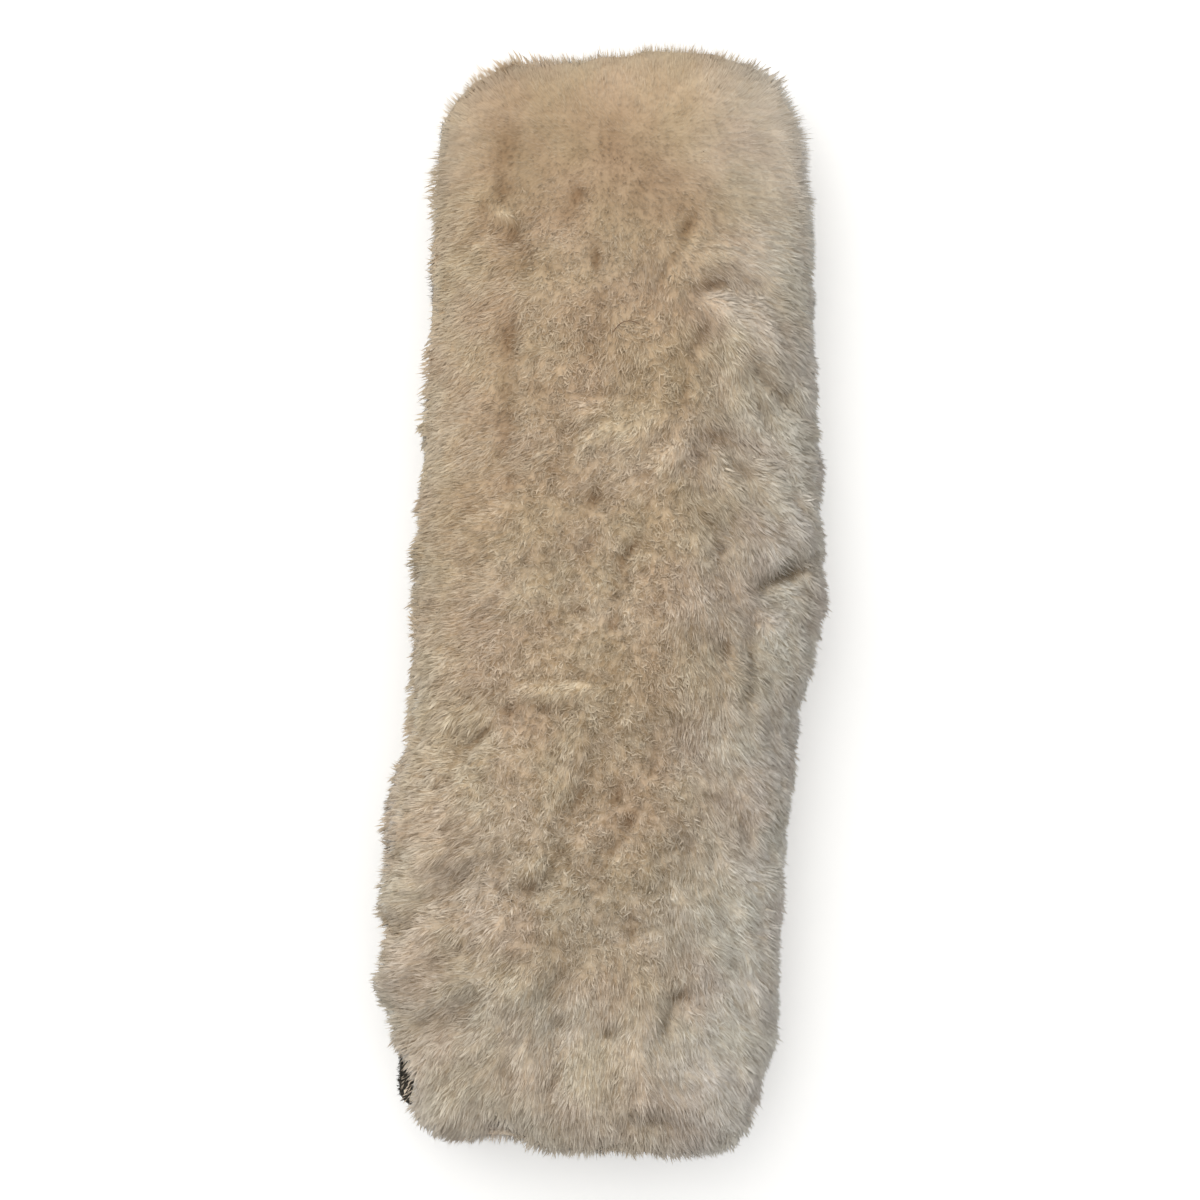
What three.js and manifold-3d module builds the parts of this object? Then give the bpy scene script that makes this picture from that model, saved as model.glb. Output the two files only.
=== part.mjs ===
// A shoulder pad for a car's seat belt, of sheepskin with the wool left on. One panel of hide is folded
// lengthwise round the belt, wool outwards, and its two long edges are closed by hook and loop tape.
// It lies flat on its lower leaf, as it comes off the belt.
// Millimetres. X runs across the pad from the taped edge (-X) to the fold (+X), Y along the belt, Z up.
import * as THREE from "three";
import { mergeVertices } from "three/addons/utils/BufferGeometryUtils.js";
import Module from "manifold-3d";

// The hide: its length along the belt, its thickness, and how it is folded
const HIDE_LENGTH = 262;
const HIDE_THICKNESS = 2;
const BELT_ROOM = 54; // clear width from the tapes to the inside of the fold
const FOLD_GAP = 9; // between the two leaves where the belt runs
const LEAF_RISE = 20; // width over which the leaves part, next to the tapes
const LEAF_EASING = 9; // how gently that rise starts and ends
const HIDE_MARGIN = 1; // hide left outside the tapes along the open edge

// The hook tape and the loop tape: a woven ground with a narrower field of hooks or loops on it
const TAPE_LENGTH = 250;
const TAPE_WIDTH = 20;
const TAPE_CORNER = 5;
const GROUND_THICKNESS = 0.8;
const SELVEDGE = 2.5; // plain woven border round the field, which the seam runs along
const HOOK_HEIGHT = 1;
const LOOP_HEIGHT = 1.2;
const TAPE_OUTER_EDGE = -45; // where both tapes end at the open edge, from the pad's middle line
const TAPE_END_MARGIN = 2; // hide left past the tapes at its lower end

// The seams that hold the tapes: one lockstitch round each tape
const THREAD = 0.5;
const STITCH_PITCH = 4;
const STITCH_DIP = 0.3; // how far the thread sinks at each needle hole

// The wool, measured from the hide's outer face to where its tips end
const PILE_ABOVE = 18;
const PILE_BELOW = 15; // pressed shorter by the pad's own weight
const PILE_PRESSED = 2; // what the floor flattens off the lower leaf's wool
const PILE_AT_ENDS = 8; // how far the wool reaches past the hide's two ends
const SIDE_ROUNDNESS = 2.7; // exponents of the rounded outlines: 2 is an ellipse, more is squarer
const LOWER_CORNER_ROUNDNESS = 8;
const UPPER_CORNER_ROUNDNESS = 6;
const END_ROUNDNESS = 4.5;
const UPPER_END_SLANT = 3; // degrees: the wool at the upper end reaches further towards the fold
const SLANT_LENGTH = 40; // how much of the pad's upper end that slant takes in

// How far the wool reaches past the fold and past the open edge, along the pad. Places run from -1 at the
// lower end to 1 at the upper end, and reaches are in millimetres.
const FOLD_REACH = [
  [-1, 16], [-0.86, 17.5], [-0.74, 18], [-0.54, 18.8], [-0.43, 16.5], [-0.29, 19.5], [-0.2, 20.5],
  [-0.07, 24], [0.04, 26.5], [0.2, 22.5], [0.43, 22.8], [0.55, 20.5], [0.74, 18.5], [0.88, 19], [1, 17],
];
const EDGE_REACH = [
  [-1, 1], [-0.86, 0.8], [-0.78, 1.8], [-0.69, 7.6], [-0.63, 4.2], [-0.56, 6.4], [-0.42, 7.6],
  [-0.34, 2.4], [-0.27, 0.2], [-0.13, 0], [0.16, 0.2], [0.4, 0], [0.67, 0], [0.8, 1.8], [0.9, 2.4], [1, 2.4],
];

// Tufts: low swellings and hollows of the wool that follow no row, in steps along the pad and round it
const TUFT_ROWS = 17;
const TUFTS_ROUND = 14;
const TUFT_RADIUS = 11;
const TUFT_HEIGHT = 2.4;
const TUFT_ON_FLOOR = 0.3; // share of the tufts' height that is left on the pressed side
const TUFT_SEED = 7;

// The deepest partings between tufts, as [across, along, length, width, depth, turn]: across is from the pad's
// middle line, along is a share of the half length, and turn is in degrees from the X axis.
const PARTINGS = [
  [30, 0.56, 16, 5, 3.2, 20], [21, 0.66, 12, 5, 2.2, 65], [-25, 0.68, 16, 7, 2.4, 95],
  [24, 0.43, 12, 6, 2.4, 60], [-2, 0.18, 9, 5, 2, 80], [7, 0.08, 8, 4, 1.8, 60],
  [29, 0.24, 12, 6, 2.2, 45], [30, 0.1, 10, 6, 2.2, 100], [47, 0.05, 20, 8, 4.5, 19],
  [38, -0.1, 22, 5, 3.4, 95], [0, -0.02, 9, 5, 1.8, 30], [-25, -0.22, 12, 6, 2, 20],
  [6, -0.37, 10, 6, 2, 60], [24, -0.45, 14, 6, 2.6, 75], [-26, -0.52, 12, 6, 2, 70],
  [12, -0.58, 12, 5, 2, 80], [-6, -0.6, 10, 6, 1.6, 20], [24, -0.71, 14, 6, 2.8, 50],
  [-30, -0.75, 14, 6, 2.4, 85], [2, -0.76, 9, 5, 1.8, 80], [-6, -0.84, 10, 5, 1.8, 60],
];

// The open edge: the two leaves' wool parts outside the tapes, and near the lower end the upper leaf is cut
// short, so that it leaves the tapes' corner bare
const EDGE_PARTING = 15; // degrees that each leaf's wool leans away from the middle plane
const BARE_SPOT_LENGTH = 16;
const BARE_SPOT_WIDTH = 9;
const BARE_SPOT_FROM_TAPE_END = 8;

const MOUTH_STEP = 1.5; // how far the wool stands back from the hide's edge at the two ends of the tunnel
const CLEARANCE = 0.3; // between pieces that lie on each other
const BEYOND = 20; // how far a cutting shape runs past what it cuts

// How finely the wool's outer surface is divided: round it, from end to end, and over each rounded end
const RING_STEPS = 48;
const LENGTH_STEPS = 64;
const END_STEPS = 7;
const END_ZONE = 24;

const closedGap = 2 * GROUND_THICKNESS + HOOK_HEIGHT + LOOP_HEIGHT + 3 * CLEARANCE;
const tapeInnerEdge = TAPE_OUTER_EDGE + TAPE_WIDTH;
const tapeMiddle = TAPE_OUTER_EDGE + TAPE_WIDTH / 2;
const hideEdge = TAPE_OUTER_EDGE - HIDE_MARGIN;
const foldInside = tapeInnerEdge + BELT_ROOM;
const foldOutside = foldInside + HIDE_THICKNESS;
const middlePlane = PILE_BELOW + HIDE_THICKNESS + FOLD_GAP / 2;
const heightAbove = FOLD_GAP / 2 + HIDE_THICKNESS + PILE_ABOVE;
const heightBelow = middlePlane + PILE_PRESSED;
const hideEnd = HIDE_LENGTH / 2;
const tapePlace = TAPE_END_MARGIN + TAPE_LENGTH / 2 - hideEnd;
const woolEnd = hideEnd + PILE_AT_ENDS;

const wasm = await Module();
wasm.setup();

// A smooth line through [place, size] pairs that were set by hand.
function sizeAt(pairs, place) {
  const next = pairs.findIndex(([there]) => there > place);
  if (next < 1) return next === 0 ? pairs[0][1] : pairs.at(-1)[1];
  const [low, high] = [pairs[next - 1], pairs[next]];
  const share = (place - low[0]) / (high[0] - low[0]);
  return low[1] + (high[1] - low[1]) * share * share * (3 - 2 * share);
}

// A number raised to a power with its sign kept, for rounded rectangles.
const rounded = (value, exponent) => Math.sign(value) * Math.abs(value) ** exponent;

// How much of the full section is left at y, by how square the end is.
const endShare = (y, roundness) => Math.max(0, 1 - Math.abs(y / woolEnd) ** roundness) ** (1 / roundness);

// The wool's outer surface before its tufts, at a place along the pad and an angle round its section.
function smoothWool(y, angle) {
  const place = y / woolEnd;
  const right = foldOutside + sizeAt(FOLD_REACH, place);
  const left = hideEdge - sizeAt(EDGE_REACH, place);
  const corner = y > 0 ? UPPER_CORNER_ROUNDNESS : LOWER_CORNER_ROUNDNESS;
  const halfWidth = ((right - left) / 2) * endShare(y, corner);
  const height = Math.sin(angle) > 0 ? heightAbove : heightBelow;
  const exponent = 2 / SIDE_ROUNDNESS;
  return new THREE.Vector3(
    (right + left) / 2 + halfWidth * rounded(Math.cos(angle), exponent),
    y,
    middlePlane + height * endShare(y, END_ROUNDNESS) * rounded(Math.sin(angle), exponent),
  );
}

// The way out of the smooth surface, from its neighbours along the pad and round it.
function outwards(y, angle) {
  const step = 0.02;
  const inside = THREE.MathUtils.clamp(y, step - woolEnd, woolEnd - step);
  const along = smoothWool(inside + step / 2, angle).sub(smoothWool(inside - step / 2, angle));
  const round = smoothWool(inside, angle + step).sub(smoothWool(inside, angle - step));
  return along.cross(round).normalize();
}

// Each tuft's middle and height: one to a cell of a grid over the surface, moved about in its cell.
THREE.MathUtils.seededRandom(TUFT_SEED);
const random = () => THREE.MathUtils.seededRandom();
const tufts = [];
for (let row = 0; row < TUFT_ROWS; row++) {
  for (let step = 0; step < TUFTS_ROUND; step++) {
    const y = woolEnd * ((2 * (row + random())) / TUFT_ROWS - 1);
    const middle = smoothWool(y, (2 * Math.PI * (step + random())) / TUFTS_ROUND);
    tufts.push({ middle, height: TUFT_HEIGHT * (2 * random() - 1) });
  }
}

// The height of the tufts at a point of the surface.
function tuftHeight(point) {
  let height = 0;
  for (const tuft of tufts) {
    height += tuft.height * Math.exp(-point.distanceToSquared(tuft.middle) / TUFT_RADIUS ** 2);
  }
  return height;
}

// How deep the partings of the upper leaf's wool are at a point.
function partingDepth(point) {
  let depth = 0;
  for (const [across, along, length, width, deep, turn] of PARTINGS) {
    const angle = THREE.MathUtils.degToRad(turn);
    const [dx, dy] = [point.x - across, point.y - along * woolEnd];
    const lengthwise = (dx * Math.cos(angle) + dy * Math.sin(angle)) / (length / 2);
    const sideways = (dy * Math.cos(angle) - dx * Math.sin(angle)) / (width / 2);
    depth += deep * Math.exp(-(lengthwise ** 2) - sideways ** 2);
  }
  return depth;
}

// A point of the wool's outer surface, which the floor flattens below.
function woolPoint(y, angle) {
  const point = smoothWool(y, angle);
  const normal = outwards(y, angle);
  const upper = THREE.MathUtils.smoothstep(point.z, 0, middlePlane);
  const share = THREE.MathUtils.lerp(TUFT_ON_FLOOR, 1, upper);
  const relief = tuftHeight(point) * share - partingDepth(point) * upper;
  point.addScaledVector(normal, relief * endShare(y, LOWER_CORNER_ROUNDNESS));
  point.z = Math.max(0, point.z);
  const slant = Math.tan(THREE.MathUtils.degToRad(UPPER_END_SLANT));
  point.y += point.x * slant * THREE.MathUtils.smoothstep(point.y, woolEnd - SLANT_LENGTH, woolEnd);
  return point;
}

// Where a ring of the surface lies along the pad, from -1 at one end to 1 at the other: the rings are even over
// the pad's middle, and closer together over its rounded ends.
function ringPlace(share) {
  const steps = (Math.abs(share) * LENGTH_STEPS) / 2;
  const evenSteps = LENGTH_STEPS / 2 - END_STEPS;
  if (steps < evenSteps) return (Math.sign(share) * (woolEnd - END_ZONE) * steps) / evenSteps;
  const overEnd = Math.sin((Math.PI / 2) * Math.min(1, (steps - evenSteps) / END_STEPS));
  return Math.sign(share) * (woolEnd - END_ZONE * (1 - overEnd));
}

// The whole bulk of the wool and hide, before the tunnel is opened in it: a sphere with its poles at the pad's
// two ends, and each of its points moved out to the wool's surface.
function woolBulk() {
  const bulk = new THREE.SphereGeometry(1, RING_STEPS, LENGTH_STEPS);
  const { position } = bulk.attributes;
  const point = new THREE.Vector3();
  for (let i = 0; i < position.count; i++) {
    point.fromBufferAttribute(position, i);
    const share = 1 - (2 * Math.acos(point.y)) / Math.PI;
    position.setXYZ(i, ...woolPoint(ringPlace(share), Math.atan2(point.z, point.x)));
  }
  return bulk;
}

// The space between the two leaves, as an outline across the pad: round at the fold, narrow where the tapes
// are, and parting outside the open edge. grow widens it all round.
function leafSpace(grow) {
  const half = FOLD_GAP / 2 + grow;
  const tight = closedGap / 2 + grow;
  const far = hideEdge - BEYOND;
  const parted = tight + BEYOND * Math.tan(THREE.MathUtils.degToRad(EDGE_PARTING));
  const foldMiddle = foldInside - FOLD_GAP / 2;
  const risen = tapeInnerEdge + LEAF_RISE;
  const outline = new THREE.Shape();
  outline.moveTo(far, -parted);
  outline.lineTo(hideEdge, -tight);
  outline.lineTo(tapeInnerEdge, -tight);
  outline.bezierCurveTo(tapeInnerEdge + LEAF_EASING, -tight, risen - LEAF_EASING, -half, risen, -half);
  outline.lineTo(foldMiddle, -half);
  outline.absarc(foldMiddle, 0, half, -Math.PI / 2, Math.PI / 2, false);
  outline.lineTo(risen, half);
  outline.bezierCurveTo(risen - LEAF_EASING, half, tapeInnerEdge + LEAF_EASING, tight, tapeInnerEdge, tight);
  outline.lineTo(hideEdge, tight);
  outline.lineTo(far, parted);
  outline.closePath();
  return outline;
}

// An outline across the pad made into a bar along it, from one place to another.
function barAlong(outline, from, to) {
  const bar = new THREE.ExtrudeGeometry(outline, { depth: to - from, bevelEnabled: false, curveSegments: 7 });
  return bar.rotateX(Math.PI / 2).translate(0, to, middlePlane);
}

// A closed three.js geometry as a solid that can be joined and cut, and back again.
function solid(geometry) {
  const bare = geometry.clone();
  bare.deleteAttribute("normal");
  bare.deleteAttribute("uv");
  const merged = mergeVertices(bare, 1e-4);
  return new wasm.Manifold(
    new wasm.Mesh({
      numProp: 3,
      vertProperties: new Float32Array(merged.attributes.position.array),
      triVerts: new Uint32Array(merged.index.array),
    }),
  );
}

function geometryOf(manifold) {
  const mesh = manifold.getMesh();
  const geometry = new THREE.BufferGeometry();
  geometry.setAttribute("position", new THREE.Float32BufferAttribute(mesh.vertProperties, 3));
  geometry.setIndex(new THREE.BufferAttribute(mesh.triVerts, 1));
  geometry.computeVertexNormals();
  return geometry;
}

// The folded sheepskin, hide and wool in one: the tunnel for the belt runs through it, the tapes' slot opens
// at the edge, and the bare spot lets the tapes' corner show.
function sheepskinGeometry() {
  const tunnel = barAlong(leafSpace(0), -woolEnd - BEYOND, woolEnd + BEYOND);
  const lowerMouth = barAlong(leafSpace(MOUTH_STEP), -woolEnd - BEYOND, -hideEnd);
  const upperMouth = barAlong(leafSpace(MOUTH_STEP), hideEnd, woolEnd + BEYOND);
  const spotOutline = new THREE.Shape();
  const spotPlace = tapePlace - TAPE_LENGTH / 2 + BARE_SPOT_FROM_TAPE_END;
  spotOutline.absellipse(hideEdge, spotPlace, BARE_SPOT_WIDTH / 2, BARE_SPOT_LENGTH / 2, 0, 2 * Math.PI);
  const bareSpot = new THREE.ExtrudeGeometry(spotOutline, {
    depth: heightAbove + BEYOND,
    bevelEnabled: false,
    curveSegments: 8,
  }).translate(0, 0, middlePlane);
  let skin = solid(woolBulk());
  for (const cut of [tunnel, lowerMouth, upperMouth, bareSpot]) skin = skin.subtract(solid(cut));
  return geometryOf(skin);
}

// A tape's outline in plan, or that of what lies inside its selvedge, with rounded corners.
function tapeOutline(inset) {
  const [halfWidth, halfLength] = [TAPE_WIDTH / 2 - inset, TAPE_LENGTH / 2 - inset];
  const corner = Math.max(TAPE_CORNER - inset, THREAD);
  const outline = new THREE.Shape();
  outline.absarc(halfWidth - corner, halfLength - corner, corner, 0, Math.PI / 2, false);
  outline.absarc(corner - halfWidth, halfLength - corner, corner, Math.PI / 2, Math.PI, false);
  outline.absarc(corner - halfWidth, corner - halfLength, corner, Math.PI, 1.5 * Math.PI, false);
  outline.absarc(halfWidth - corner, corner - halfLength, corner, 1.5 * Math.PI, 2 * Math.PI, false);
  outline.closePath();
  return outline;
}

// A tape lying face up on z = 0: its ground, and the field of hooks or loops standing on it.
function tapeGeometry(fieldHeight) {
  const ground = new THREE.ExtrudeGeometry(tapeOutline(0), {
    depth: GROUND_THICKNESS,
    bevelEnabled: false,
    curveSegments: 5,
  });
  const field = new THREE.ExtrudeGeometry(tapeOutline(SELVEDGE), {
    depth: GROUND_THICKNESS / 2 + fieldHeight,
    bevelEnabled: false,
    curveSegments: 5,
  }).translate(0, 0, GROUND_THICKNESS / 2);
  return geometryOf(solid(ground).add(solid(field)));
}

// The seam round a tape, lying on z = 0: a ring of thread that stands up over each stitch and sinks at each
// needle hole. It is a torus whose sections are moved to the seam's line.
function seamGeometry() {
  const line = tapeOutline(SELVEDGE / 2);
  const steps = 2 * Math.round(line.getLength() / STITCH_PITCH);
  const route = line.getSpacedPoints(steps).slice(0, steps);
  const ringRadius = 2;
  const seam = new THREE.TorusGeometry(ringRadius, 1, 4, steps);
  const { position } = seam.attributes;
  for (let i = 0; i < position.count; i++) {
    const [x, y, up] = [position.getX(i), position.getY(i), position.getZ(i)];
    const out = Math.hypot(x, y) - ringRadius;
    const step = (Math.round((steps * Math.atan2(y, x)) / (2 * Math.PI)) + steps) % steps;
    const before = route[(step + steps - 1) % steps];
    const after = route[(step + 1) % steps];
    const side = new THREE.Vector2(after.y - before.y, before.x - after.x).normalize();
    const place = route[step].clone().addScaledVector(side, (out * THREAD) / 2);
    const height = step % 2 ? THREAD : THREAD - STITCH_DIP;
    position.setXYZ(i, place.x, place.y, (height * (1 + up)) / 2);
  }
  return geometryOf(solid(seam));
}

function piece(name, geometry, color, roughness) {
  const mesh = new THREE.Mesh(geometry, new THREE.MeshStandardMaterial({ color, roughness, metalness: 0 }));
  mesh.name = name;
  return mesh;
}

// A tape with its seam, face up, as it is sewn to a leaf.
function sewnTape(kind, fieldHeight) {
  const seam = piece(`${kind}_tape_stitching`, seamGeometry(), 0x1b1a19, 0.7);
  seam.position.z = GROUND_THICKNESS + CLEARANCE;
  return new THREE.Group().add(piece(`${kind}_tape`, tapeGeometry(fieldHeight), 0x171615, 0.9), seam);
}

const pad = new THREE.Group();
pad.add(piece("sheepskin", sheepskinGeometry(), 0xb3a084, 0.95));

// The hook tape lies face up on the lower leaf, and the loop tape hangs face down from the upper one.
const hookTape = sewnTape("hook", HOOK_HEIGHT);
hookTape.position.set(tapeMiddle, tapePlace, middlePlane - closedGap / 2 + CLEARANCE);
const loopTape = sewnTape("loop", LOOP_HEIGHT);
loopTape.rotation.y = Math.PI;
loopTape.position.set(tapeMiddle, tapePlace, middlePlane + closedGap / 2 - CLEARANCE);
pad.add(hookTape, loopTape);

// The part's own frame: its origin is under the middle of its box, on the floor.
const middle = new THREE.Box3().setFromObject(pad).getCenter(new THREE.Vector3());
pad.position.set(-middle.x, -middle.y, 0);

export default pad;
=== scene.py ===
import math

import bmesh
import bpy
import numpy as np
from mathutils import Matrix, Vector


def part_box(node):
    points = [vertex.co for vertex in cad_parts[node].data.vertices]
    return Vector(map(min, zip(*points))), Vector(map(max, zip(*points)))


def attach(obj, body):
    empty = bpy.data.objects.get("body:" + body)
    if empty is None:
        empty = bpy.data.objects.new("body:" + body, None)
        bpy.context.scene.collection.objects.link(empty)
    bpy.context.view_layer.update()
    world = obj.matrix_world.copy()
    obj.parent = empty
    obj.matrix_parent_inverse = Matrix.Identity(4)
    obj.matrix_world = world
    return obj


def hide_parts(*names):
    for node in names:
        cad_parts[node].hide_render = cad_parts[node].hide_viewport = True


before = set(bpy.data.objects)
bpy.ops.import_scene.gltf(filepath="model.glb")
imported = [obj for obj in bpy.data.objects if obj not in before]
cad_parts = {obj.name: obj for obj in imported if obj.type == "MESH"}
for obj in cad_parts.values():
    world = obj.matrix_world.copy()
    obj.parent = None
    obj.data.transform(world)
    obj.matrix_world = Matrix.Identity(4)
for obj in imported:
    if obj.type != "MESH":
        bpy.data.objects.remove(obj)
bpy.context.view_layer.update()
bpy.context.scene.view_settings.view_transform = "Standard"

MM = 0.001
stage_collection = bpy.context.scene.collection


# The table. The pad lies on its lower leaf on a smooth white top, which takes its soft shadow.
TABLE_HALF_WIDTH = 1.5  # m
bm = bmesh.new()
bmesh.ops.create_grid(bm, x_segments=1, y_segments=1, size=TABLE_HALF_WIDTH)
table_mesh = bpy.data.meshes.new("table_top")
bm.to_mesh(table_mesh)
bm.free()
table_top = bpy.data.objects.new("table_top", table_mesh)
stage_collection.objects.link(table_top)

white_top = bpy.data.materials.new("white_table_top")
white_top.use_nodes = True
nodes, links = white_top.node_tree.nodes, white_top.node_tree.links
shader = nodes["Principled BSDF"]
shader.inputs["Base Color"].default_value = (0.88, 0.88, 0.87, 1)
shader.inputs["Roughness"].default_value = 0.9
shader.inputs["Specular IOR Level"].default_value = 0.1
rays = nodes.new("ShaderNodeLightPath")
seen = nodes.new("ShaderNodeMath")
seen.operation = "MAXIMUM"
links.new(rays.outputs["Is Camera Ray"], seen.inputs[0])
links.new(rays.outputs["Is Glossy Ray"], seen.inputs[1])
seen_through = nodes.new("ShaderNodeMath")
seen_through.operation = "MAXIMUM"
links.new(seen.outputs[0], seen_through.inputs[0])
links.new(rays.outputs["Is Transmission Ray"], seen_through.inputs[1])
glow = nodes.new("ShaderNodeMath")
glow.operation = "MULTIPLY"
glow.inputs[1].default_value = 0.24
links.new(seen_through.outputs[0], glow.inputs[0])
shader.inputs["Emission Color"].default_value = (1, 1, 1, 1)
links.new(glow.outputs[0], shader.inputs["Emission Strength"])
table_mesh.materials.append(white_top)

# Daylight: an even white room, and one large soft window up and to the left of the pad.
world = bpy.data.worlds.new("white_room")
bpy.context.scene.world = world
world.use_nodes = True
world.node_tree.nodes["Background"].inputs["Color"].default_value = (1, 1, 1, 1)
world.node_tree.nodes["Background"].inputs["Strength"].default_value = 0.62

window = bpy.data.lights.new("soft_window", "AREA")
window.shape = "RECTANGLE"
window.size, window.size_y = 1.2, 1.6
window.energy = 13
window.color = (1.0, 0.985, 0.96)
window_lamp = bpy.data.objects.new("soft_window", window)
stage_collection.objects.link(window_lamp)
window_lamp.location = (-0.3, 0.45, 1.35)
window_lamp.rotation_euler = (-window_lamp.location).to_track_quat("-Z", "Y").to_euler()

# The camera looks straight down on the pad. It is turned a little, so the pad leans right in the picture.
PICTURE_WIDTH = 301.9 * MM  # what the picture takes in at half the pad's height
CAMERA_HEIGHT = 700 * MM  # above half the pad's height
HALF_HEIGHT = 21.5 * MM
PAD_LEAN = math.radians(2.6)
camera_data = bpy.data.cameras.new("camera")
camera_data.lens = camera_data.sensor_width * CAMERA_HEIGHT / PICTURE_WIDTH
camera = bpy.data.objects.new("camera", camera_data)
stage_collection.objects.link(camera)
camera.location = (-1.8 * MM, -0.1 * MM, HALF_HEIGHT + CAMERA_HEIGHT)
camera.rotation_euler = (0, 0, PAD_LEAN)
bpy.context.scene.camera = camera


# The hide: one panel of sheepskin 2 mm thick, its suede flesh side inwards, folded lengthwise round the belt.
# It is drawn as its fold's outline, extruded along the belt and given its thickness.
HIDE_THICKNESS = 2.0 * MM
HIDE_HALF_LENGTH = 131 * MM
FOLD_RADIUS = 4.5 * MM  # inside the fold, half the room between the leaves
TAPED_HALF_GAP = 2.35 * MM  # half the room where the tapes lie
LEAF_RISE = 20 * MM  # over which the leaves part, next to the tapes
BELT_ROOM = 54 * MM
TUNNEL_MIDDLE = 21.5 * MM  # height of the middle plane between the leaves
HIDE_MARGIN = 0.4 * MM  # beyond the tapes
UPPER_END_CORNER = 19.5 * MM  # radius of the panel's corners
LOWER_END_CORNER = 9 * MM

tape_low, tape_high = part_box("hook_tape")
open_edge = tape_low.x - HIDE_MARGIN
tape_inner_edge = tape_high.x
fold_axis = tape_inner_edge + BELT_ROOM - FOLD_RADIUS


def leaf_half_gap(x):
    """Half the room between the two leaves, by the place across the pad."""
    share = np.clip((x - tape_inner_edge) / LEAF_RISE, 0, 1)
    return TAPED_HALF_GAP + (FOLD_RADIUS - TAPED_HALF_GAP) * share * share * (3 - 2 * share)


BARE_SPOT_PLACE = tape_low.y + 8 * MM  # where the upper leaf is cut short, over the tapes' corner
BARE_SPOT_LENGTH = 16 * MM
BARE_SPOT_WIDTH = 9 * MM


def trim_of_edge(along, upper):
    """How far the knife takes the open edge back: at its corners, and on the upper leaf at its bare spot."""
    corner = np.where(along > 0, UPPER_END_CORNER, LOWER_END_CORNER)
    past = np.clip((np.abs(along) - HIDE_HALF_LENGTH + corner) / corner, 0, 1)
    spot = np.clip(1 - ((along - BARE_SPOT_PLACE) / (BARE_SPOT_LENGTH / 2)) ** 2, 0, 1)
    return np.maximum(corner * (1 - np.sqrt(1 - past**2)), upper * BARE_SPOT_WIDTH / 2 * np.sqrt(spot))


LEAF_CUTS = 26
FOLD_CUTS = 10
LENGTH_CUTS = 66
bm = bmesh.new()
leaf_places = [open_edge + (fold_axis - open_edge) * i / LEAF_CUTS for i in range(LEAF_CUTS + 1)]
turn_angles = [math.pi * (i / FOLD_CUTS - 0.5) for i in range(1, FOLD_CUTS)]
outline = [(x, -leaf_half_gap(x)) for x in leaf_places]
outline += [(fold_axis + FOLD_RADIUS * math.cos(a), FOLD_RADIUS * math.sin(a)) for a in turn_angles]
outline += [(x, leaf_half_gap(x)) for x in reversed(leaf_places)]
line = [bm.verts.new((x, -HIDE_HALF_LENGTH, TUNNEL_MIDDLE + z)) for x, z in outline]
rim = [bm.edges.new(pair) for pair in zip(line, line[1:])]
for _ in range(LENGTH_CUTS):
    grown = bmesh.ops.extrude_edge_only(bm, edges=rim)["geom"]
    rim = [g for g in grown if isinstance(g, bmesh.types.BMEdge) and all(v in grown for v in g.verts)]
    moved = [g for g in grown if isinstance(g, bmesh.types.BMVert)]
    bmesh.ops.translate(bm, verts=moved, vec=(0, 2 * HIDE_HALF_LENGTH / LENGTH_CUTS, 0))
# The knife rounds the panel's corners, leaves its ends a little wavy, and cuts the upper leaf short by the
# tapes' lower end.
EDGE_ZONE = 30 * MM
for v in bm.verts:
    trim = float(trim_of_edge(v.co.y, v.co.z > TUNNEL_MIDDLE))
    v.co.x += trim * min(max(1 - (v.co.x - open_edge) / EDGE_ZONE, 0), 1)
    wave = 0.5 * math.sin(v.co.x / (7 * MM)) + 0.25 * math.sin(v.co.x / (2.3 * MM) + v.co.z / (4 * MM))
    v.co.y += wave * MM * (abs(v.co.y) / HIDE_HALF_LENGTH) ** 8
bmesh.ops.recalc_face_normals(bm, faces=bm.faces)
hide_mesh = bpy.data.meshes.new("hide")
bm.to_mesh(hide_mesh)
bm.free()
hide = bpy.data.objects.new("hide", hide_mesh)
stage_collection.objects.link(hide)
inner_face = min(hide_mesh.polygons, key=lambda p: abs(p.center.x) + abs(p.center.z - TUNNEL_MIDDLE))
leather = hide.modifiers.new("leather", "SOLIDIFY")
leather.thickness = HIDE_THICKNESS
leather.use_even_offset = True
leather.material_offset_rim = 1
leather.offset = 1 if inner_face.normal.z * (inner_face.center.z - TUNNEL_MIDDLE) > 0 else -1

suede = bpy.data.materials.new("suede_flesh_side")
suede.use_nodes = True
nodes, links = suede.node_tree.nodes, suede.node_tree.links
shader = nodes["Principled BSDF"]
shader.inputs["Roughness"].default_value = 0.92
shader.inputs["Specular IOR Level"].default_value = 0.2
place = nodes.new("ShaderNodeTexCoord")
nap = nodes.new("ShaderNodeTexNoise")
nap.inputs["Scale"].default_value = 900
nap.inputs["Detail"].default_value = 4
links.new(place.outputs["Object"], nap.inputs["Vector"])
mottle = nodes.new("ShaderNodeTexNoise")
mottle.inputs["Scale"].default_value = 45
mottle.inputs["Detail"].default_value = 3
links.new(place.outputs["Object"], mottle.inputs["Vector"])
shades = nodes.new("ShaderNodeValToRGB")
shades.color_ramp.elements[0].position = 0.32
shades.color_ramp.elements[0].color = (0.44, 0.36, 0.26, 1)
shades.color_ramp.elements[1].position = 0.72
shades.color_ramp.elements[1].color = (0.66, 0.58, 0.46, 1)
links.new(mottle.outputs["Fac"], shades.inputs["Fac"])
links.new(shades.outputs["Color"], shader.inputs["Base Color"])
raised = nodes.new("ShaderNodeBump")
raised.inputs["Strength"].default_value = 0.5
raised.inputs["Distance"].default_value = 0.3 * MM
links.new(nap.outputs["Fac"], raised.inputs["Height"])
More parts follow.
